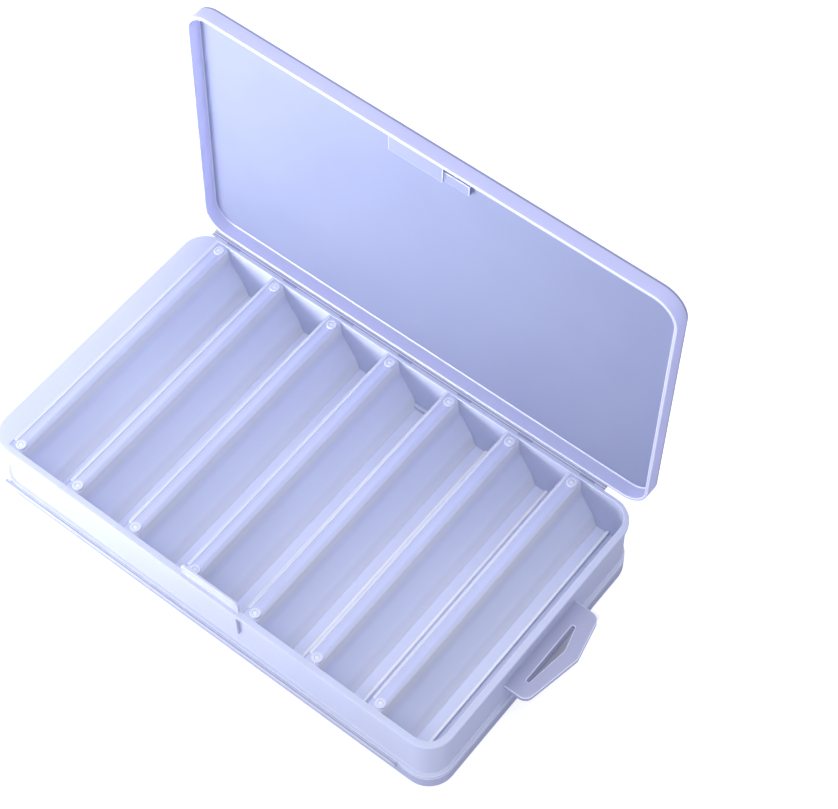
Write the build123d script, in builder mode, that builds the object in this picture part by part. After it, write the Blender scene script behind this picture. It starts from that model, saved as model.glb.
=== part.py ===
"""Double-sided tackle box: a tray with one corrugated partition, and a shallow lid on each side.

The box stands on its lower lid. X runs along its length, Y from its front to its back, Z up.
The upper lid stands open on its film hinge along the back edge. The lower lid is shut, and
hinges along the front edge. All sizes are in millimetres.
"""

import os
from math import cos, radians, sin

from build123d import *

# Tray: four upright walls between two thin rim flanges
width = 103.2
tray_height = 22.4
corner_radius = 9.0
wall = 1.1
overhang = 1.2
hinge_overhang = 0.2
flange_height = 1.5
flange_round = 0.4

# Partition: ridges on the upper rim, each with a curved wall and a sloped wall
left_ledge = 8.3
pitch = 24.0
compartments = 7
last_ridge_inset = 2.0
ridge = 1.0
ridge_depth = 2.5
ridge_step = 0.4
sheet = 0.9
lower_ridge = 16.0
band = 3.85
floor_start = 11.25
upper_knee_x = 4.5
upper_knee_depth = 7.5
lower_knee_x = 9.6
lower_knee_height = 6.2
bend_radius = 1.2
knee_radius = 10.0
ridge_end = 2.5

# Small round ejector pads on the upper bands, near both ends
pad_x = 2.5
pad_inset = 2.4
pad_radius = 1.7
pad_bore = 0.9
pad_height = 0.35

# Lids: a thin flat panel with an upright skirt, as wide and long as the rims
lid_hollow = 4.9
lid_panel = 0.9
lid_skirt = 1.1
lid_round = 0.6
open_angle = 92.0

# Film hinges, which bend behind the rims
hinge_gap = 0.8
hinge_drop = 0.9
film = 0.4
film_level = 0.75
film_bulge = 0.9
film_bend = 0.5
film_left_inset = 4.5
film_right_inset = 14.0

# Latches: a tongue on the tray stands behind the lid's skirt
latch_x = 2.4
latch_width = 22.5
latch_root = 3.0
latch_plate = 12.6
tongue_height = 4.6
tongue_gap = 0.35
tongue_corner = 1.5
bead_radius = 0.4
bead_reach = 0.25
bead_level = 1.3

# Lid catches: a bar and a block on the panel, behind the tongue
catch_left = 16.25
catch_right = 12.75
catch_bar = 4.0
catch_bar_height = 1.6
catch_block = 20.0
catch_block_height = 2.4
catch_gap = 0.55
catch_depth = 8.0

# Carry tab: a flat tab with a slot, half way up the right-hand wall
tab_y = 1.75
tab_length = 36.3
tab_thickness = 2.0
tab_back_reach = 9.25
tab_front_reach = 8.45
tab_apex_reach = 12.5
tab_apex_y = 2.5
tab_corner = 3.2
tab_point = 1.2
slot_inset = 4.3
slot_band = 4.9
slot_back = 10.85
slot_front = 12.65
slot_back_width = 1.1
slot_corner = 0.4

# Worked out from the sizes above
length = left_ledge + compartments * pitch + last_ridge_inset
lid_depth = lid_hollow + lid_panel
base = lid_depth
rim = base + tray_height
left = -length / 2
back = width / 2
wall_length = length - 2 * overhang
wall_width = width - overhang - hinge_overhang
wall_y = (overhang - hinge_overhang) / 2
wall_radius = corner_radius - overhang
inner_length = wall_length - 2 * wall
inner_width = wall_width - 2 * wall
inner_radius = wall_radius - wall
inner_front = wall_y - inner_width / 2
inner_back = wall_y + inner_width / 2
inner_right = inner_length / 2
tongue = overhang + wall - lid_skirt - tongue_gap
film_length = length - film_left_inset - film_right_inset

os.makedirs("parts", exist_ok=True)


def save(piece, name):
    """Labels a finished piece and writes it under its name."""
    piece.part.label = name
    export_step(piece.part, f"parts/{name}.step")


def ridge_x(number):
    """Where the ridge of this number stands, counted from the left."""
    return left + left_ledge + number * pitch


def level(height):
    """A flat plane at this height, centred on the tray's walls."""
    return Plane((0, wall_y, height))


# The upper latch sits in a notch of the front wall: a root, a tongue above it and a plate below
with BuildPart() as top_latch:
    with BuildSketch(Plane.YZ.offset(latch_x - latch_width / 2)):
        with Locations((-back, rim)):
            Rectangle(overhang + wall, latch_root, align=(Align.MIN, Align.MAX))
            Rectangle(overhang, latch_plate, align=(Align.MIN, Align.MAX))
        with Locations((inner_front, rim)):
            Rectangle(tongue, tongue_height, align=(Align.MAX, Align.MIN))
    extrude(amount=latch_width)
    tongue_tips = top_latch.edges().filter_by(Axis.Y).group_by(Axis.Z)[-1]
    fillet(tongue_tips, tongue_corner)
    with BuildSketch(Plane.YZ.offset(latch_x - latch_width / 2 + tongue_corner)):
        with Locations((inner_front - tongue + bead_radius - bead_reach, rim + bead_level)):
            Circle(bead_radius)
    extrude(amount=latch_width - 2 * tongue_corner)
save(top_latch, "top_latch_tongue")

# The lower latch hangs from the foot of the back wall, with its tongue inside the lower lid
with BuildPart() as bottom_latch:
    tongue_face = back - lid_skirt - tongue_gap
    with BuildSketch(Plane.YZ.offset(latch_x - latch_width / 2)):
        with Locations((tongue_face - tongue, base)):
            Rectangle(back - tongue_face + tongue, latch_root, align=(Align.MIN, Align.MIN))
            Rectangle(tongue, tongue_height, align=(Align.MIN, Align.MAX))
    extrude(amount=latch_width)
    tongue_tips = bottom_latch.edges().filter_by(Axis.Y).group_by(Axis.Z)[0]
    fillet(tongue_tips, tongue_corner)
    with BuildSketch(Plane.YZ.offset(latch_x - latch_width / 2 + tongue_corner)):
        with Locations((tongue_face - bead_radius + bead_reach, base - bead_level)):
            Circle(bead_radius)
    extrude(amount=latch_width - 2 * tongue_corner)
save(bottom_latch, "bottom_latch_tongue")

# Tray frame: the walls, a flange round each rim, and the flat ledges that end the partition
with BuildPart() as tray_frame:
    with BuildSketch(level(base)):
        RectangleRounded(wall_length, wall_width, wall_radius)
    extrude(amount=tray_height)
    for flange_foot in (base, rim - flange_height):
        with BuildSketch(Plane.XY.offset(flange_foot)):
            RectangleRounded(length, width, corner_radius)
        extrude(amount=flange_height)
    rims = tray_frame.faces().sort_by(Axis.Z)
    fillet(rims[0].edges() + rims[-1].edges(), flange_round)
    with BuildSketch(level(base + wall)):
        RectangleRounded(inner_length, inner_width, inner_radius)
    extrude(amount=tray_height - 2 * wall, mode=Mode.SUBTRACT)
    upper_ledge_end = ridge_x(0) - ridge / 2
    lower_ledge_start = ridge_x(compartments - 1) + lower_ridge + ridge / 2
    with BuildSketch(level(rim - wall)):
        RectangleRounded(inner_length, inner_width, inner_radius)
        with Locations((upper_ledge_end, 0)):
            Rectangle(length, width, align=(Align.MAX, Align.CENTER), mode=Mode.SUBTRACT)
    extrude(amount=wall, mode=Mode.SUBTRACT)
    with BuildSketch(level(base)):
        RectangleRounded(inner_length, inner_width, inner_radius)
        with Locations((lower_ledge_start, 0)):
            Rectangle(length, width, align=(Align.MIN, Align.CENTER), mode=Mode.SUBTRACT)
    extrude(amount=wall, mode=Mode.SUBTRACT)
    add(top_latch.part, mode=Mode.SUBTRACT)
    add(bottom_latch.part, mode=Mode.SUBTRACT)
save(tray_frame, "tray_frame")


def partition_section(number):
    """The upright plane across the partition at the front wall, with its origin on a ridge's top."""
    return Plane(origin=(ridge_x(number), inner_front, rim), x_dir=(1, 0, 0), z_dir=(0, -1, 0))


# Curved dividers: a ridge, a flat band, a wall that curves down, a floor strip and a lower ridge
for number in range(compartments):
    with BuildPart() as curved_divider:
        with BuildSketch(partition_section(number)):
            with BuildLine():
                band_level = -ridge_step - sheet / 2
                floor_level = -tray_height + ridge_step + sheet / 2
                FilletPolyline(
                    (0, band_level),
                    (band, band_level),
                    (upper_knee_x, -upper_knee_depth),
                    (lower_knee_x, lower_knee_height - tray_height),
                    (floor_start, floor_level),
                    (lower_ridge, floor_level),
                    radius=[bend_radius, knee_radius, knee_radius, bend_radius],
                )
            trace(line_width=sheet)
            with Locations((0, -ridge_depth / 2), (lower_ridge, ridge_depth / 2 - tray_height)):
                Rectangle(ridge, ridge_depth)
        extrude(amount=-inner_width)
        with BuildSketch(Plane.XY.offset(rim - ridge_step - sheet / 2)):
            pad_places = [
                (ridge_x(number) + pad_x, inner_front + pad_inset),
                (ridge_x(number) + pad_x, inner_back - pad_inset),
            ]
            with Locations(*pad_places):
                Circle(pad_radius)
                Circle(pad_bore, mode=Mode.SUBTRACT)
        extrude(amount=sheet / 2 + pad_height)
        with BuildSketch(Plane.YZ.offset(ridge_x(number) - ridge)):
            with Locations((inner_front, rim)):
                Rectangle(ridge_end, ridge_step, align=(Align.MIN, Align.MAX))
        extrude(amount=2 * ridge, mode=Mode.SUBTRACT)
        with BuildSketch(level(base)):
            RectangleRounded(inner_length, inner_width, inner_radius)
        extrude(amount=tray_height + pad_height, mode=Mode.INTERSECT)
        add(bottom_latch.part, mode=Mode.SUBTRACT)
    save(curved_divider, f"curved_divider_{number + 1}")

# Sloped dividers: a flat leaning wall from each lower ridge up to the next upper ridge
for number in range(compartments - 1):
    with BuildPart() as sloped_divider:
        with BuildSketch(partition_section(number)):
            with BuildLine():
                Polyline(
                    (lower_ridge + ridge / 2, -tray_height),
                    (pitch - ridge / 2, -ridge_depth),
                    (pitch - ridge / 2, 0),
                    (lower_ridge + ridge / 2, ridge_depth - tray_height),
                    close=True,
                )
            make_face()
        extrude(amount=-inner_width)
        add(bottom_latch.part, mode=Mode.SUBTRACT)
    save(sloped_divider, f"sloped_divider_{number + 1}")

# Carry tab on the right-hand wall, with a strap slot that follows its pointed outer edge
wall_face = wall_length / 2
tab_middle = base + tray_height / 2
apex = (wall_face + tab_apex_reach, tab_y + tab_apex_y)
back_corner = (wall_face + tab_back_reach, tab_y + tab_length / 2)
front_corner = (wall_face + tab_front_reach, tab_y - tab_length / 2)
with BuildPart() as carry_tab:
    with BuildSketch(Plane.XY.offset(tab_middle - tab_thickness / 2)):
        with BuildLine():
            Polyline(
                (wall_face, front_corner[1]),
                front_corner,
                apex,
                back_corner,
                (wall_face, back_corner[1]),
                close=True,
            )
        make_face()
    extrude(amount=tab_thickness)
    corners = carry_tab.edges().filter_by(Axis.Z).sort_by(Axis.X)
    fillet(corners[2:4], tab_corner)
    fillet(carry_tab.edges().filter_by(Axis.Z).sort_by(Axis.X)[-1], tab_point)
    with BuildSketch(Plane.XY.offset(tab_middle - tab_thickness / 2)):
        with BuildLine():
            slot_x = wall_face + slot_inset
            Polyline(
                (slot_x, tab_y - slot_front),
                (slot_x + slot_back_width, tab_y - slot_front),
                (apex[0] - slot_band, apex[1]),
                (slot_x + slot_back_width, tab_y + slot_back),
                (slot_x, tab_y + slot_back),
                close=True,
            )
        slot_face = make_face()
        fillet(slot_face.vertices(), slot_corner)
    extrude(amount=tab_thickness, mode=Mode.SUBTRACT)
save(carry_tab, "carry_tab")


def lid_plane(side, angle):
    """A lid's own plane on its hinge axis: X to the left, Y to its free edge, Z out through its panel.

    side is 1 for the upper lid and -1 for the lower one, and angle is how far it stands open.
    """
    turn = radians(angle)
    hinge_z = rim - hinge_drop if side > 0 else base + hinge_drop
    origin = (0, side * (back + hinge_gap), hinge_z)
    return Plane(origin=origin, x_dir=(-1, 0, 0), z_dir=(0, side * sin(turn), side * cos(turn)))


top_plane = lid_plane(1, open_angle)
bottom_plane = lid_plane(-1, 0)

# Lids and the catches inside their free edges
for side_name, plane in (("top", top_plane), ("bottom", bottom_plane)):
    with BuildPart() as lid:
        with BuildSketch(plane.offset(hinge_drop)):
            with Locations((0, hinge_gap + width / 2)):
                RectangleRounded(length, width, corner_radius)
        extrude(amount=lid_depth)
        outside = lid.faces().sort_by(Axis(plane.origin, plane.z_dir))[-1]
        fillet(outside.edges(), lid_round)
        with BuildSketch(plane.offset(hinge_drop)):
            with Locations((0, hinge_gap + width / 2)):
                RectangleRounded(length - 2 * lid_skirt, width - 2 * lid_skirt, corner_radius - lid_skirt)
        extrude(amount=lid_hollow, mode=Mode.SUBTRACT)
    save(lid, f"{side_name}_lid")

    catch_front = hinge_gap + width - lid_skirt - tongue_gap - tongue - catch_gap
    with BuildPart() as catch:
        with BuildSketch(plane.offset(hinge_drop + lid_hollow)):
            with Locations((catch_left - latch_x, catch_front - catch_depth)):
                Rectangle(catch_left + catch_right, catch_bar, align=(Align.MAX, Align.MIN))
        extrude(amount=-catch_bar_height)
        with BuildSketch(plane.offset(hinge_drop + lid_hollow)):
            with Locations((catch_left - latch_x, catch_front)):
                Rectangle(catch_block, catch_depth, align=(Align.MAX, Align.MAX))
        extrude(amount=-catch_block_height)
    save(catch, f"{side_name}_lid_catch")

# Film hinges, drawn across the hinge as they lie with the upper lid open and the lower one shut
lid_end = top_plane.from_local_coords(Vector(0, hinge_gap, hinge_drop + film_level))
lid_way = top_plane.y_dir
elbow_y = lid_end.Y - lid_way.Y * (lid_end.Z - rim + film_level) / lid_way.Z
with BuildPart() as top_film:
    with BuildSketch(Plane.YZ.offset(left + film_left_inset)):
        with BuildLine():
            FilletPolyline(
                (back, rim - film_level),
                (elbow_y, rim - film_level),
                (lid_end.Y, lid_end.Z),
                radius=film_bend,
            )
        trace(line_width=film)
    extrude(amount=film_length)
save(top_film, "top_hinge_film")

with BuildPart() as bottom_film:
    with BuildSketch(Plane.YZ.offset(left + film_left_inset)):
        with BuildLine():
            FilletPolyline(
                (-back, base + film_level),
                (-back - film_bulge, base + film_level),
                (-back - film_bulge, base - film_level),
                (-back, base - film_level),
                radius=film_bend,
            )
        trace(line_width=film)
    extrude(amount=film_length)
save(bottom_film, "bottom_hinge_film")
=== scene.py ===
# %% [markdown]
# # A frosted two-sided tackle box
#
# The box is moulded in one plastic, frosted polypropylene, so its whole look comes from how one
# material lets light in, scatters it and shows its own edges. The solid pieces come from CAD.
# This lesson gives them their finish, models the thin hinge films, lights the box softly
# and places the camera.

# %% Load the CAD pieces
import math

import bpy
from mathutils import Matrix, Vector


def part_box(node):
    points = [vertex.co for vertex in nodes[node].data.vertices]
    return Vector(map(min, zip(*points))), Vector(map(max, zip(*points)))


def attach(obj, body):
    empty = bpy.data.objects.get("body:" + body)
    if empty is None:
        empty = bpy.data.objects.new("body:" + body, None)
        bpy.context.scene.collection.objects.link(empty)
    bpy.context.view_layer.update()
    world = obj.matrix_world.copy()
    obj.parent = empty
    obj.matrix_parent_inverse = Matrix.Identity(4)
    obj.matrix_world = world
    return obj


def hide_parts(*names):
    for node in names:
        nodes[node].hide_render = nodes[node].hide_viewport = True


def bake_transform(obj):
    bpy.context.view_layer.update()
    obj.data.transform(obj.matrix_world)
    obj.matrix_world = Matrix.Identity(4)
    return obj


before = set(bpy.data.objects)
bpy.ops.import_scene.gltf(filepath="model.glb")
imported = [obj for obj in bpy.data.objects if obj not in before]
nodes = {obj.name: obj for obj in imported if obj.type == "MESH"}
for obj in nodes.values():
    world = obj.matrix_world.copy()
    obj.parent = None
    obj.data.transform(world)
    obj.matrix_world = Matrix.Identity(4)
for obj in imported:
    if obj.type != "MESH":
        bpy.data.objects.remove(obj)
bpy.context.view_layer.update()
scene = bpy.context.scene
print("pieces from CAD:", len(nodes))

# %% [markdown]
# Lengths are easier to read in millimetres, which is how the box was measured, so one helper
# turns them into Blender's metres. X runs along the box, Y from its front to its back, and Z up.

# %% Millimetres to metres
MM = 0.001


def mm(*values):
    """Millimetres as metres: one number, or a vector of three."""
    return values[0] * MM if len(values) == 1 else Vector(values) * MM


# %% [markdown]
# ## Camera
#
# The photograph was taken from above and to the right of the box's front, from about 0.7 m.
# A camera can be aimed by eye, but the seven parallel ridges and the square lid fix it far
# better: their vanishing points give the two angles, the roll and the focal length. The values
# here come from such a fit.

# %% Place the camera
AZIMUTH = math.radians(38.772)
ELEVATION = math.radians(57.896)
ROLL = math.radians(-0.752)
DISTANCE = mm(725.619)
AIM = mm(3.16, 0.09, 28.2)
AIM_IN_VIEW = (mm(-31.386), mm(-23.35))
IMAGE_WIDTH = 838
FOCAL_PIXELS = 2342.4
SENSOR = 36.0

towards = Vector(
    (
        math.sin(AZIMUTH) * math.cos(ELEVATION),
        -math.cos(AZIMUTH) * math.cos(ELEVATION),
        math.sin(ELEVATION),
    )
)
level_right = Vector((0, 0, 1)).cross(towards).normalized()
level_up = towards.cross(level_right)
right = level_right * math.cos(ROLL) + level_up * math.sin(ROLL)
up = level_up * math.cos(ROLL) - level_right * math.sin(ROLL)
place = AIM - right * AIM_IN_VIEW[0] - up * AIM_IN_VIEW[1] + towards * DISTANCE

camera_data = bpy.data.cameras.new("camera")
camera_data.sensor_fit = "HORIZONTAL"
camera_data.sensor_width = SENSOR
camera_data.lens = FOCAL_PIXELS / IMAGE_WIDTH * SENSOR
camera = bpy.data.objects.new("camera", camera_data)
camera.matrix_world = Matrix.Translation(place) @ Matrix((right, up, towards)).transposed().to_4x4()
scene.collection.objects.link(camera)
scene.camera = camera
print("camera at", [round(v, 3) for v in place], "lens", round(camera_data.lens, 1), "mm")

# %% [markdown]
# ## One helper for materials
#
# A material here is a small graph of nodes. One function adds a node, sets its settings and
# connects its inputs, so a material reads as a list of what it is made of.

# %% Node and colour helpers


def linear(hex_colour):
    """An sRGB hex colour as the linear values that a shader works with."""
    channels = [int(hex_colour[i : i + 2], 16) / 255 for i in (1, 3, 5)]
    return [c / 12.92 if c <= 0.04045 else ((c + 0.055) / 1.055) ** 2.4 for c in channels] + [1.0]


def add(tree, kind, settings=None, **inputs):
    """Adds a node. An input is a value, or another node's output socket to link."""
    node = tree.nodes.new(kind)
    for name, value in (settings or {}).items():
        setattr(node, name, value)
    for name, value in inputs.items():
        key = int(name[1:]) if name[0] == "i" and name[1:].isdigit() else name.replace("_", " ")
        if isinstance(value, bpy.types.NodeSocket):
            tree.links.new(value, node.inputs[key])
        else:
            node.inputs[key].default_value = value
    return node


# %% [markdown]
# ## Frosted polypropylene
#
# Polypropylene is milky: light enters a thin wall, scatters, and leaves on both sides. Blender
# can trace that scattering inside the wall, but a wall of one millimetre scatters light only a
# few times, so three simple shaders give the same look with far less noise. A glossy plastic
# surface gives what the front reflects. A translucent shader gives the light that comes through
# from behind. A little plain transparency lets shapes show dimly through the wall.
#
# A moulded wall is never perfectly even. Slow noise varies the tint as the wall's thickness
# varies, and fine noise gives the frosted skin its grain. Real frosting is about a tenth of a
# millimetre, which no pixel here can show, so it is drawn at half a millimetre.

# %% Frosted plastic
FROST_GRAIN = mm(0.5)
FROST_HEIGHT = mm(0.03)
TINT_PATCH = mm(28)
POLYPROPYLENE_IOR = 1.49
GLOSS_CHANGE = 0.05


def tint_by_patches(tree, where, tints):
    """A slow, faint change between two tints, as the wall's thickness changes."""
    patches = add(tree, "ShaderNodeTexNoise", Vector=where, Scale=1 / TINT_PATCH, Detail=2.0)
    return add(
        tree,
        "ShaderNodeMix",
        {"data_type": "RGBA"},
        Factor=patches.outputs["Fac"],
        i6=linear(tints[0]),
        i7=linear(tints[1]),
    ).outputs[2]


def frosted_plastic(name, tints, milk, clear, roughness, frosting, tint=tint_by_patches):
    """Moulded polypropylene with hex tints.

    milk is the share that is lit from behind, clear the share that is seen straight through,
    frosting the strength of the grain, and tint the function that spreads the tints.
    """
    material = bpy.data.materials.new(name)
    material.use_nodes = True
    tree = material.node_tree
    tree.nodes.clear()
    where = add(tree, "ShaderNodeTexCoord").outputs["Object"]
    colour = tint(tree, where, tints)
    grain = add(tree, "ShaderNodeTexNoise", Vector=where, Scale=1 / FROST_GRAIN, Detail=2.0)
    skin = add(
        tree,
        "ShaderNodeBump",
        Height=grain.outputs["Fac"],
        Strength=frosting,
        Distance=FROST_HEIGHT,
    ).outputs["Normal"]
    gloss = add(
        tree,
        "ShaderNodeMapRange",
        Value=grain.outputs["Fac"],
        To_Min=roughness - GLOSS_CHANGE,
        To_Max=roughness + GLOSS_CHANGE,
    )
    surface = add(
        tree,
        "ShaderNodeBsdfPrincipled",
        Base_Color=colour,
        Roughness=gloss.outputs[0],
        IOR=POLYPROPYLENE_IOR,
        Normal=skin,
    )
    behind = add(tree, "ShaderNodeBsdfTranslucent", Color=colour, Normal=skin)
    milky = add(tree, "ShaderNodeMixShader", i0=milk, i1=surface.outputs[0], i2=behind.outputs[0])
    through = add(tree, "ShaderNodeBsdfTransparent", Color=linear("#F2F4FF"))
    wall = add(tree, "ShaderNodeMixShader", i0=clear, i1=milky.outputs[0], i2=through.outputs[0])
    add(tree, "ShaderNodeOutputMaterial", Surface=wall.outputs[0])
    print(name, "made")
    return material


# %% [markdown]
# ## The plastic deep in the compartments
#
# In a pale box most of the light in a compartment has bounced ten times or more between its
# walls, and much of it runs inside the milky wall, so folds and deep places look almost as bright
# as the rim. Cycles follows only four such bounces on the surface. The plastic's tint therefore
# carries painted light and shade at each depth: painted shade, a little darker, where it lies
# flat just below the rim, and painted light, palest low down, where the fold is tightest. The same
# sheet is the floor of the upper compartments and of the lower ones, so a face that looks up has its
# depth counted from the upper rim, one that looks down from the lower rim, and an upright one takes
# the tint half way.

# %% Tint and painted light by depth
BASE_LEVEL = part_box("tray_frame")[0].z
RIM_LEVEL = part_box("tray_frame")[1].z
UPRIGHT = 0.1
HALF_WAY = 0.5
print("tray from", round(BASE_LEVEL / MM, 1), "to", round(RIM_LEVEL / MM, 1), "mm")


def tint_and_painted_light_by_depth(tree, where, tints):
    """Tints from rim to base, with painted light and shade, as pairs of depth (0 to 1) and colour, with
    faint patches.
    """
    height = add(tree, "ShaderNodeSeparateXYZ", Vector=where).outputs["Z"]
    level = add(
        tree,
        "ShaderNodeMapRange",
        Value=height,
        From_Min=BASE_LEVEL,
        From_Max=RIM_LEVEL,
        To_Min=HALF_WAY,
        To_Max=-HALF_WAY,
    )
    facing = add(tree, "ShaderNodeNewGeometry").outputs["Normal"]
    upward = add(tree, "ShaderNodeSeparateXYZ", Vector=facing).outputs["Z"]
    side = add(
        tree,
        "ShaderNodeMapRange",
        Value=upward,
        From_Min=-UPRIGHT,
        From_Max=UPRIGHT,
        To_Min=-1.0,
        To_Max=1.0,
    )
    signed = add(
        tree, "ShaderNodeMath", {"operation": "MULTIPLY"}, i0=level.outputs[0], i1=side.outputs[0]
    )
    depth = add(tree, "ShaderNodeMath", {"operation": "ADD"}, i0=signed.outputs[0], i1=HALF_WAY)
    by_depth = add(tree, "ShaderNodeValToRGB", Fac=depth.outputs[0])
    stops = by_depth.color_ramp.elements
    for at, tint in tints:
        stop = stops[-1] if at == 1 else stops[0] if at == 0 else stops.new(at)
        stop.color = linear(tint)
    patches = tint_by_patches(tree, where, ("#FAFAFD", "#FFFFFF"))
    return add(
        tree,
        "ShaderNodeMix",
        {"data_type": "RGBA", "blend_type": "MULTIPLY"},
        Factor=1.0,
        i6=by_depth.outputs["Color"],
        i7=patches,
    ).outputs[2]


# %% [markdown]
# The upper lid is one flat panel with a skirt all round. The panel is thin and lets much of its
# light through, and its tints, darker than the tray's, are painted shade. The skirt guides light
# along itself to its edge, and its paler tint is painted light. The tint changes at the panel's
# inner face, measured square to the panel as the lid stands open.

# %% Tint of the upper lid, with painted light and shade
LID_OPEN = math.radians(92)
LID_AXIS = mm(0, 52.4, 27.3)
SKIRT_ENDS, PANEL_STARTS = mm(5.65), mm(5.75)


def tint_and_painted_light_of_lid(tree, where, tints):
    """The panel between the first two tints, painted shade, and its skirt in the third, painted light."""
    square_to_panel = (0, math.sin(LID_OPEN), math.cos(LID_OPEN))
    from_axis = add(tree, "ShaderNodeVectorMath", {"operation": "SUBTRACT"}, i0=where, i1=LID_AXIS)
    level = add(
        tree,
        "ShaderNodeVectorMath",
        {"operation": "DOT_PRODUCT"},
        i0=from_axis.outputs[0],
        i1=square_to_panel,
    )
    on_panel = add(
        tree,
        "ShaderNodeMapRange",
        Value=level.outputs["Value"],
        From_Min=SKIRT_ENDS,
        From_Max=PANEL_STARTS,
    )
    return add(
        tree,
        "ShaderNodeMix",
        {"data_type": "RGBA"},
        Factor=on_panel.outputs[0],
        i6=linear(tints[2]),
        i7=tint_by_patches(tree, where, tints),
    ).outputs[2]


# %% [markdown]
# One plastic has several looks on this box, as its thickness and the mould's surface differ. Each
# is named for both. Several tints also carry painted light and shade. A tinted ramp lists pairs of
# depth and colour.

# %% Plastics of the box
# Each ramp holds the plastic's own tint with painted light and shade by depth: darker just below the rim,
# paler lower down.
WALL_TINTS_AND_PAINTED_LIGHT = ((0, "#D2D9F6"), (0.5, "#D4DBF5"), (1, "#DEE3FA"))
CURVE_TINTS_AND_PAINTED_LIGHT = (
    (0, "#D8DFFB"),
    (0.005, "#D8DFFB"),
    (0.014, "#C6CDF6"),
    (0.025, "#C9D1F7"),
    (0.05, "#E2E8FE"),
    (0.09, "#F4F6FF"),
    (0.2, "#F4F6FF"),
    (0.35, "#DFE5FC"),
    (0.6, "#E4EAFE"),
    (0.85, "#F8F9FF"),
    (0.92, "#FDFDFF"),
    (0.93, "#DCE2FB"),
    (1, "#DCE2FB"),
)
SLOPE_TINTS_AND_PAINTED_SHADE = ((0, "#D8DFFB"), (0.1, "#C9D1F5"), (1, "#DCE2FB"))

# Walls of 1.1 mm from a mould roughened all over: broad, soft highlights on a pale skin.
wall_plastic = frosted_plastic(
    "frosted polypropylene wall",
    WALL_TINTS_AND_PAINTED_LIGHT,
    milk=0.15,
    clear=0.08,
    roughness=0.36,
    frosting=0.5,
    tint=tint_and_painted_light_by_depth,
)
# The partition has little behind it but more of itself, so it looks denser than the walls.
curve_plastic = frosted_plastic(
    "frosted polypropylene curve",
    CURVE_TINTS_AND_PAINTED_LIGHT,
    milk=0.08,
    clear=0.03,
    roughness=0.34,
    frosting=0.5,
    tint=tint_and_painted_light_by_depth,
)
# The sloped dividers' darker band is painted shade, so that the low lamps don't wash out their steep
# faces.
slope_plastic = frosted_plastic(
    "frosted polypropylene slope",
    SLOPE_TINTS_AND_PAINTED_SHADE,
    milk=0.08,
    clear=0.03,
    roughness=0.34,
    frosting=0.5,
    tint=tint_and_painted_light_by_depth,
)
# The mould's lid faces were polished: a satin skin with hardly any grain, lit from behind as well.
# Its panel tints, darker than the tray's, are painted shade, and its skirt's pale tint is painted light.
lid_plastic = frosted_plastic(
    "satin polypropylene lid",
    ("#9DA5C7", "#A5ADCC", "#DADDFC"),
    milk=0.4,
    clear=0.12,
    roughness=0.2,
    frosting=0.1,
    tint=tint_and_painted_light_of_lid,
)
# The catch is thicker than the panel that it stands on, and a little paler. Like the panel's,
# its tints are darker than the tray's: painted shade.
catch_plastic = frosted_plastic(
    "satin polypropylene catch",
    ("#A4ABCD", "#ABB2D2"),
    milk=0.3,
    clear=0.12,
    roughness=0.2,
    frosting=0.1,
)
# The lower lid lies shut under the tray, where it looks milky and even.
lower_lid_plastic = frosted_plastic(
    "frosted polypropylene lower lid",
    ("#C4CCF0", "#CCD4F4"),
    milk=0.2,
    clear=0.12,
    roughness=0.3,
    frosting=0.4,
)
# The tab is 2 mm thick and hangs free of the box, and its tint, greyer than the wall's, is painted shade.
tab_plastic = frosted_plastic(
    "frosted polypropylene tab",
    ("#BFC2E0", "#C7CAE6"),
    milk=0.3,
    clear=0.15,
    roughness=0.36,
    frosting=0.5,
)
# Light leaves the wall at its rounded edges, which are smoother than its faces. Their paler tint
# is painted light.
edge_painted_light_plastic = frosted_plastic(
    "polypropylene with painted edge light",
    ("#E2E7FF", "#EAEEFF"),
    milk=0.1,
    clear=0.05,
    roughness=0.25,
    frosting=0.1,
)

# %% [markdown]
# ## Rounded edges that catch the light
#
# No moulded edge is sharp, and each small radius draws a bright line. Light also travels inside
# the plastic and leaves at its edges, so the radii get a paler material than the walls: painted
# light. The CAD pieces come as separate faces, each with its own stored shading. A small Geometry
# Nodes group joins the faces into one skin and forgets that shading, and a Decimate modifier makes
# each flat face whole again. Faces that run round a whole rim have a hole in the middle, so
# Triangulate cuts them up. A Bevel modifier then rounds each edge and gives it the second, paler
# material of the piece.

# %% One skin for each CAD piece
WELD_DISTANCE = mm(0.002)

one_skin = bpy.data.node_groups.new("one skin", "GeometryNodeTree")
for direction in ("INPUT", "OUTPUT"):
    one_skin.interface.new_socket("Geometry", in_out=direction, socket_type="NodeSocketGeometry")
source = add(one_skin, "NodeGroupInput")
joined = add(one_skin, "GeometryNodeMergeByDistance", Geometry=source.outputs[0], Distance=WELD_DISTANCE)
plain = add(one_skin, "GeometryNodeRemoveAttribute", Geometry=joined.outputs[0], Name="custom_normal")
smooth = add(one_skin, "GeometryNodeSetShadeSmooth", Geometry=plain.outputs[0], Shade_Smooth=True)
add(one_skin, "NodeGroupOutput", i0=smooth.outputs[0])

# %% Finish the CAD pieces
SHARPEST_CURVE = math.radians(30)
FLAT_ENOUGH = math.radians(0.3)
CORNERS_OF_A_RIM = 90
EDGE_SEGMENTS = 3
TRAY_RADIUS, DIVIDER_RADIUS, TAB_RADIUS = mm(0.15), mm(0.12), mm(0.25)
LID_RADIUS, CATCH_RADIUS = mm(0.35), mm(0.25)


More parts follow.
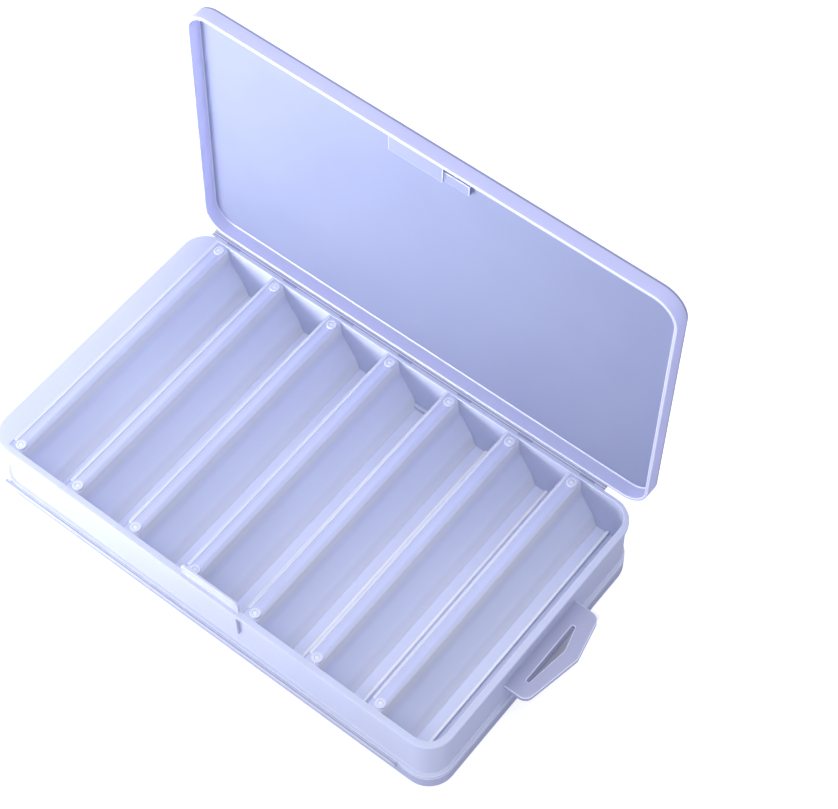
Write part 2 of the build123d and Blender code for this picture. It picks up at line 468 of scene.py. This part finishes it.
def finish(node_name, material, radius):
    """Gives a CAD piece its material, and small radii on its edges in a paler material: painted light."""
    piece = nodes[node_name]
    piece.data.materials.clear()
    piece.data.materials.append(material)
    piece.data.materials.append(edge_painted_light_plastic)
    piece.modifiers.new("one skin", "NODES").node_group = one_skin
    flats = piece.modifiers.new("whole flat faces", "DECIMATE")
    flats.decimate_type = "DISSOLVE"
    flats.angle_limit = FLAT_ENOUGH
    rims = piece.modifiers.new("rims cut up", "TRIANGULATE")
    rims.min_vertices = CORNERS_OF_A_RIM
    rounded = piece.modifiers.new("moulded radii", "BEVEL")
    rounded.width = radius
    rounded.segments = EDGE_SEGMENTS
    rounded.limit_method = "ANGLE"
    rounded.angle_limit = SHARPEST_CURVE
    rounded.use_clamp_overlap = False
    rounded.harden_normals = True
    rounded.material = 1


PLASTICS = {
    "tray_frame": (wall_plastic, TRAY_RADIUS),
    "top_latch_tongue": (wall_plastic, TRAY_RADIUS),
    "bottom_latch_tongue": (wall_plastic, TRAY_RADIUS),
    "carry_tab": (tab_plastic, TAB_RADIUS),
    "top_lid": (lid_plastic, LID_RADIUS),
    "top_lid_catch": (catch_plastic, CATCH_RADIUS),
    "bottom_lid": (lower_lid_plastic, LID_RADIUS),
    "bottom_lid_catch": (lower_lid_plastic, CATCH_RADIUS),
}
for name in nodes:
    if name.startswith("curved_divider"):
        finish(name, curve_plastic, DIVIDER_RADIUS)
    elif name.startswith("sloped_divider"):
        finish(name, slope_plastic, DIVIDER_RADIUS)
    elif name in PLASTICS:
        finish(name, *PLASTICS[name])
print("bevelled pieces", sum(1 for piece in nodes.values() if piece.modifiers))

# %% [markdown]
# ## Film hinges
#
# Each lid hangs on a film of the same plastic, a few tenths of a millimetre thick, which runs
# along the whole edge. The mould gives the film beads and grooves lengthwise, so that it folds
# in a straight line, and folding stretches it and turns it white. The film is modelled as one
# cross-section, a line with its own thickness at each point, drawn out along the edge. It is a
# piece of its own, and the CAD solid is hidden.

# %% Film mesh


def film_sheet(name, line, thickness, x_from, x_to, steps):
    """A sheet drawn out along X from a line of (y, z) points, with one thickness for each point."""
    upper = []
    lower = []
    for i, (y, z) in enumerate(line):
        before = Vector(line[max(i - 1, 0)])
        after = Vector(line[min(i + 1, len(line) - 1)])
        along = (after - before).normalized()
        out = Vector((-along.y, along.x)) * thickness[i] / 2
        upper.append((y + out.x, z + out.y))
        lower.append((y - out.x, z - out.y))
    ring = upper + lower[::-1]
    points = []
    for step in range(steps + 1):
        x = x_from + (x_to - x_from) * step / steps
        points += [mm(x, y, z) for y, z in ring]
    n = len(ring)
    faces = [tuple(range(n)), tuple(steps * n + k for k in reversed(range(n)))]
    for step in range(steps):
        for k in range(n):
            a = step * n + k
            b = step * n + (k + 1) % n
            faces.append((a, a + n, b + n, b))
    mesh = bpy.data.meshes.new(name)
    mesh.from_pydata(points, [], faces)
    mesh.shade_smooth()
    film = bpy.data.objects.new(name, mesh)
    scene.collection.objects.link(film)
    print(name, "has", len(faces), "faces")
    return film


def bent(corners, radius, per_corner=6):
    """A line through these corners, with each corner in the middle rounded to the radius."""
    points = [corners[0]]
    for before, corner, after in zip(corners, corners[1:], corners[2:]):
        corner = Vector(corner)
        back = (Vector(before) - corner).normalized() * radius
        on = (Vector(after) - corner).normalized() * radius
        for k in range(per_corner + 1):
            t = k / per_corner
            points.append(tuple(corner + back * (1 - t) ** 2 + on * t**2))
    points.append(corners[-1])
    return points


# %% [markdown]
# The beads are pale, partly because folding has stretched the film and partly as painted light,
# and the thin grooves between them are darker, a painted shade. Beside the rim there is one short,
# thicker land for each compartment, and its dark tint is painted shade too.

# %% Material of the films
PITCH = 24.0
FIRST_LAND, LAND_LENGTH = -78.25, 5.6
LAND_MIDDLE, LAND_REACH = 52.1, 0.5
BEAD_PITCH = 0.83
GROOVE_SHARE, BEAD_SHARE = 0.15, 0.3


def tint_and_painted_shade_of_film(tree, where, tints):
    """Grooves and beads in the first two tints, and short lands of the third beside the rim; the dark
    grooves and lands are painted shade.
    """
    position = add(tree, "ShaderNodeSeparateXYZ", Vector=where)
    bead = add(
        tree, "ShaderNodeMath", {"operation": "PINGPONG"}, i0=position.outputs["Y"], i1=mm(BEAD_PITCH / 2)
    )
    beaded = add(
        tree,
        "ShaderNodeMapRange",
        Value=bead.outputs[0],
        From_Min=mm(BEAD_PITCH * GROOVE_SHARE),
        From_Max=mm(BEAD_PITCH * BEAD_SHARE),
    )
    film = add(
        tree,
        "ShaderNodeMix",
        {"data_type": "RGBA"},
        Factor=beaded.outputs[0],
        i6=linear(tints[0]),
        i7=linear(tints[1]),
    )
    past_first = add(
        tree, "ShaderNodeMath", {"operation": "SUBTRACT"}, i0=position.outputs["X"], i1=mm(FIRST_LAND)
    )
    along = add(
        tree, "ShaderNodeMath", {"operation": "FLOORED_MODULO"}, i0=past_first.outputs[0], i1=mm(PITCH)
    )
    on_land = add(
        tree, "ShaderNodeMath", {"operation": "LESS_THAN"}, i0=along.outputs[0], i1=mm(LAND_LENGTH)
    )
    near_rim = add(
        tree,
        "ShaderNodeMath",
        {"operation": "COMPARE"},
        i0=position.outputs["Y"],
        i1=mm(LAND_MIDDLE),
        i2=mm(LAND_REACH),
    )
    land = add(
        tree, "ShaderNodeMath", {"operation": "MULTIPLY"}, i0=on_land.outputs[0], i1=near_rim.outputs[0]
    )
    return add(
        tree,
        "ShaderNodeMix",
        {"data_type": "RGBA"},
        Factor=land.outputs[0],
        i6=film.outputs[2],
        i7=linear(tints[2]),
    ).outputs[2]


# The dark first and third tints are painted shade, in the grooves and on the lands.
film_plastic = frosted_plastic(
    "stretched polypropylene film with painted shade",
    ("#A9AFD0", "#EEF1FF", "#A9AFD0"),
    milk=0.3,
    clear=0.15,
    roughness=0.3,
    frosting=0.3,
    tint=tint_and_painted_shade_of_film,
)

# %% [markdown]
# The upper film leaves the rim flat, beaded over its first 1.9 mm, and turns up into the open lid.
# The lower one is folded in a U behind the shut lid. Their sections are in millimetres, in (y, z).

# %% Both films
FILM_LEFT, FILM_RIGHT = -84.65, 75.15
FILM_STEPS = 80
TOP_START, TOP_CORNER, TOP_END = (51.6, 27.45), (54.06, 27.45), (54.08, 28.04)
TOP_BEND = 0.4
BEADED_LENGTH, BEAD_STEPS, BEAD_WAVES = 1.9, 10, 3.5
THINNEST, BEAD_HEIGHT, TOP_PLAIN, BOTTOM_PLAIN = 0.3, 0.16, 0.34, 0.36
BOTTOM_START, BOTTOM_END = (-51.6, 6.55), (-51.6, 5.05)
BOTTOM_OUT, BOTTOM_BEND = -52.5, 0.45

along_beads = [k / BEAD_STEPS for k in range(BEAD_STEPS)]
beaded = [(TOP_START[0] + BEADED_LENGTH * t, TOP_START[1]) for t in along_beads]
top_line = beaded + bent([TOP_START, TOP_CORNER, TOP_END], TOP_BEND)[1:]
top_thickness = [THINNEST + BEAD_HEIGHT * math.sin(math.pi * BEAD_WAVES * t) ** 2 for t in along_beads]
top_thickness += [TOP_PLAIN] * (len(top_line) - BEAD_STEPS)
top_film = film_sheet("hinge_film_upper", top_line, top_thickness, FILM_LEFT, FILM_RIGHT, FILM_STEPS)

bottom_corners = [BOTTOM_START, (BOTTOM_OUT, BOTTOM_START[1]), (BOTTOM_OUT, BOTTOM_END[1]), BOTTOM_END]
bottom_line = bent(bottom_corners, BOTTOM_BEND)
bottom_thickness = [BOTTOM_PLAIN] * len(bottom_line)
bottom_film = film_sheet(
    "hinge_film_lower", bottom_line, bottom_thickness, FILM_LEFT, FILM_RIGHT, FILM_STEPS
)

for film, node, lid, start, end in (
    (top_film, "top_hinge_film", "top_lid", TOP_START, TOP_END),
    (bottom_film, "bottom_hinge_film", "bottom_lid", BOTTOM_START, BOTTOM_END),
):
    film.data.materials.append(film_plastic)
    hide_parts(node)
    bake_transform(film)

# %% [markdown]
# ## Rest studs
#
# At both ends of each ridge the partition has a small ring pad, and light gathers in the middle of
# it. A stud, a low dome like a button, fills each ring, in the pale edge material: a painted
# highlight. All fourteen are one mesh, turned like work on a lathe: one half section, in
# (radius, z), is repeated round the axis.

# %% Fourteen turned studs
STUD_SECTION = ((0.88, 27.75), (0.88, 27.95), (0.74, 28.07), (0.42, 28.13))
STUD_TOP = 28.15
STUD_SIDES = 20
FIRST_STUD, STUD_COUNT = -78.35, 7
STUD_ROWS = (-46.9, 47.9)

points = []
faces = []
for x in [FIRST_STUD + PITCH * i for i in range(STUD_COUNT)]:
    for y in STUD_ROWS:
        first = len(points)
        for radius, z in STUD_SECTION:
            for k in range(STUD_SIDES):
                turn = 2 * math.pi * k / STUD_SIDES
                points.append(mm(x + radius * math.cos(turn), y + radius * math.sin(turn), z))
        points.append(mm(x, y, STUD_TOP))
        faces.append(tuple(first + k for k in reversed(range(STUD_SIDES))))
        for ring in range(len(STUD_SECTION) - 1):
            for k in range(STUD_SIDES):
                a = first + ring * STUD_SIDES + k
                b = first + ring * STUD_SIDES + (k + 1) % STUD_SIDES
                faces.append((a, b, b + STUD_SIDES, a + STUD_SIDES))
        last = first + (len(STUD_SECTION) - 1) * STUD_SIDES
        faces += [(last + k, last + (k + 1) % STUD_SIDES, len(points) - 1) for k in range(STUD_SIDES)]
stud_mesh = bpy.data.meshes.new("rest_studs")
stud_mesh.from_pydata(points, [], faces)
stud_mesh.shade_smooth()
stud_mesh.materials.append(edge_painted_light_plastic)
studs = bpy.data.objects.new("rest_studs", stud_mesh)
scene.collection.objects.link(studs)
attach(studs, "tray")
print("studs", STUD_COUNT * len(STUD_ROWS))

# %% [markdown]
# ## Stage and light
#
# The box lies on a large card. The photograph's background is pure white, so the card glows, but
# for the camera alone: it looks white, adds no light to the box, and still takes the box's shadow.
# Only the strip of card that shows through the tab's strap slot barely glows, which leaves a painted
# shadow there on top of the box's real shadow, because the photograph's slot is dark.

# %% Floor
FLOOR_SIZE = 4.0
FLOOR_GAP = mm(0.2)
CARD_GLOW = 0.65
# In a rectangle under the tab the glow fades down to almost nothing: a painted shadow.
PAINTED_SHADOW_GLOW = 0.05
PAINTED_SHADOW_MIDDLE = mm(86, 11, 0)
ANY_HEIGHT = 1000
PAINTED_SHADOW_HALF = mm(6, 15, ANY_HEIGHT)
PAINTED_SHADOW_FADES_FROM, PAINTED_SHADOW_FADES_TO = 0.9, 1.2

floor_mesh = bpy.data.meshes.new("floor")
half = FLOOR_SIZE / 2
corners = [(-half, -half, 0), (half, -half, 0), (half, half, 0), (-half, half, 0)]
floor_mesh.from_pydata(corners, [], [(0, 1, 2, 3)])
floor = bpy.data.objects.new("floor", floor_mesh)
floor.location.z = -FLOOR_GAP
scene.collection.objects.link(floor)

paper = bpy.data.materials.new("matt card under a white glow, with a painted shadow")
paper.use_nodes = True
tree = paper.node_tree
tree.nodes.clear()
card = add(tree, "ShaderNodeBsdfDiffuse", Color=linear("#C6C6D6"))
where = add(tree, "ShaderNodeTexCoord").outputs["Object"]
from_painted_shadow = add(tree, "ShaderNodeVectorMath", {"operation": "SUBTRACT"}, i0=where, i1=PAINTED_SHADOW_MIDDLE)
in_halves = add(
    tree, "ShaderNodeVectorMath", {"operation": "DIVIDE"}, i0=from_painted_shadow.outputs[0], i1=PAINTED_SHADOW_HALF
)
distance = add(tree, "ShaderNodeVectorMath", {"operation": "ABSOLUTE"}, i0=in_halves.outputs[0])
sides = add(tree, "ShaderNodeSeparateXYZ", Vector=distance.outputs[0])
farther = add(
    tree, "ShaderNodeMath", {"operation": "MAXIMUM"}, i0=sides.outputs["X"], i1=sides.outputs["Y"]
)
glow_here = add(
    tree,
    "ShaderNodeMapRange",
    Value=farther.outputs[0],
    From_Min=PAINTED_SHADOW_FADES_FROM,
    From_Max=PAINTED_SHADOW_FADES_TO,
    To_Min=PAINTED_SHADOW_GLOW,
    To_Max=CARD_GLOW,
)
glow = add(tree, "ShaderNodeEmission", Color=(1, 1, 1, 1), Strength=glow_here.outputs[0])
lit = add(tree, "ShaderNodeAddShader", i0=card.outputs[0], i1=glow.outputs[0])
ray = add(tree, "ShaderNodeLightPath").outputs["Is Camera Ray"]
seen = add(tree, "ShaderNodeMixShader", i0=ray, i1=card.outputs[0], i2=lit.outputs[0])
add(tree, "ShaderNodeOutputMaterial", Surface=seen.outputs[0])
floor_mesh.materials.append(paper)

# %% [markdown]
# The light is soft and comes from all round. The sky and a very wide overhead softbox reach down
# into the compartments. The left window stands low at the front left and shines over the box onto
# the open lid, which makes the lid palest at its left end, as in the photograph. Its beam is kept
# narrow, so that the front wall keeps its tone. Two small lamps lift the front corners, and a lamp
# behind shines through the lid. A shut lid would mirror the lamps as hard white shapes, so glossy
# rays don't see them.

# %% Sky
SKY_LIGHT = 0.4
world = bpy.data.worlds.new("studio")
scene.world = world
world.use_nodes = True
tree = world.node_tree
tree.nodes.clear()
sky = add(tree, "ShaderNodeBackground", Color=(1, 1, 1, 1), Strength=SKY_LIGHT)
blank = add(tree, "ShaderNodeBackground", Color=(1, 1, 1, 1), Strength=1.0)
ray = add(tree, "ShaderNodeLightPath").outputs["Is Camera Ray"]
backdrop = add(tree, "ShaderNodeMixShader", i0=ray, i1=sky.outputs[0], i2=blank.outputs[0])
add(tree, "ShaderNodeOutputWorld", Surface=backdrop.outputs[0])

# %% Lamps
OVERHEAD_FROM = (0.05, -0.1, 1.0)
OVERHEAD_WIDTH = math.radians(70)
OVERHEAD_STRENGTH = 1.95
# For each lamp: its place, its aim, its width and height in metres, its watts, and its beam in degrees.
LAMPS = {
    "left window": ((-0.28, -0.36, 0.13), (-0.12, 0.05, 0.17), (0.25, 0.2), 0.8, 55),
    "left corner lamp": ((-0.18, -0.24, 0.08), (-0.05, -0.05, 0.02), (0.08, 0.05), 0.3, 180),
    "right corner lamp": ((0.2, -0.25, 0.035), (0.085, -0.05, 0.015), (0.08, 0.05), 0.12, 180),
    "back lamp": ((-0.3, 0.7, 0.5), (0, 0, 0.05), (0.5, 0.5), 2.0, 180),
}

overhead_data = bpy.data.lights.new("overhead softbox", "SUN")
overhead_data.angle = OVERHEAD_WIDTH
overhead_data.energy = OVERHEAD_STRENGTH
overhead = bpy.data.objects.new("overhead softbox", overhead_data)
overhead.rotation_euler = Vector(OVERHEAD_FROM).to_track_quat("Z", "Y").to_euler()
scene.collection.objects.link(overhead)

for name, (lamp_place, aim, lamp_size, watts, spread) in LAMPS.items():
    data = bpy.data.lights.new(name, "AREA")
    data.shape = "RECTANGLE"
    data.size, data.size_y = lamp_size
    data.energy = watts
    data.spread = math.radians(spread)
    lamp = bpy.data.objects.new(name, data)
    lamp.location = lamp_place
    lamp.rotation_euler = (Vector(aim) - Vector(lamp_place)).to_track_quat("-Z", "Y").to_euler()
    lamp.visible_glossy = False
    scene.collection.objects.link(lamp)
print("lamps", len(LAMPS) + 1)

# %% [markdown]
# The Standard view shows each tint as it was chosen.

# %% View
scene.view_settings.view_transform = "Standard"
